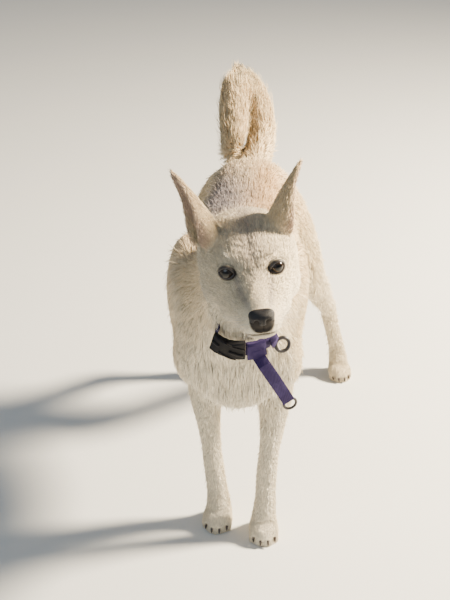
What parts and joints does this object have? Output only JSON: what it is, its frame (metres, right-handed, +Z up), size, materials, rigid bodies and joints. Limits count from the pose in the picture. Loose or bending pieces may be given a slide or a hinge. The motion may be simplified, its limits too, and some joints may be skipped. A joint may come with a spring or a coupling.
{
  "type": "dog",
  "caption": "Standing medium dog with pricked ears, a tail curled up over its back and a webbing collar, on four flat paw soles.",
  "frame": {"origin": "on the floor under the middle of the dog's box", "axes": "+Z up, the dog looks towards -Y and slightly to +X, its left side is towards +X"},
  "size_m": [0.3114, 0.8618, 0.6599],
  "materials": {
    "coat_cream": "short straight fur, cream with a warm fawn shade over the back",
    "coat_pale": "short close fur, off-white",
    "coat_fawn": "short fur, light fawn",
    "eye_brown": "wet dark brown eye with a black pupil",
    "nose_black": "moist black pebbled skin",
    "webbing_purple": "flat woven purple webbing",
    "buckle_black": "moulded black plastic",
    "ring_steel": "dull worn metal"
  },
  "bodies": {
    "root": {"head": "coat_cream", "neck": "coat_cream", "trunk": "coat_cream", "tail": "coat_fawn", "ear_left": "coat_fawn", "ear_right": "coat_fawn", "foreleg_left": "coat_pale", "foreleg_right": "coat_pale", "hindleg_left": "coat_cream", "hindleg_right": "coat_cream", "paw_fore_left": "coat_pale", "paw_fore_right": "coat_pale", "paw_hind_left": "coat_pale", "paw_hind_right": "coat_pale", "eye_left": "eye_brown", "eye_right": "eye_brown", "nose": "nose_black", "collar_band": "webbing_purple", "collar_loop": "webbing_purple", "collar_buckle": "buckle_black", "collar_ring": "ring_steel", "collar_d_ring": "ring_steel"}
  },
  "joints": []
}
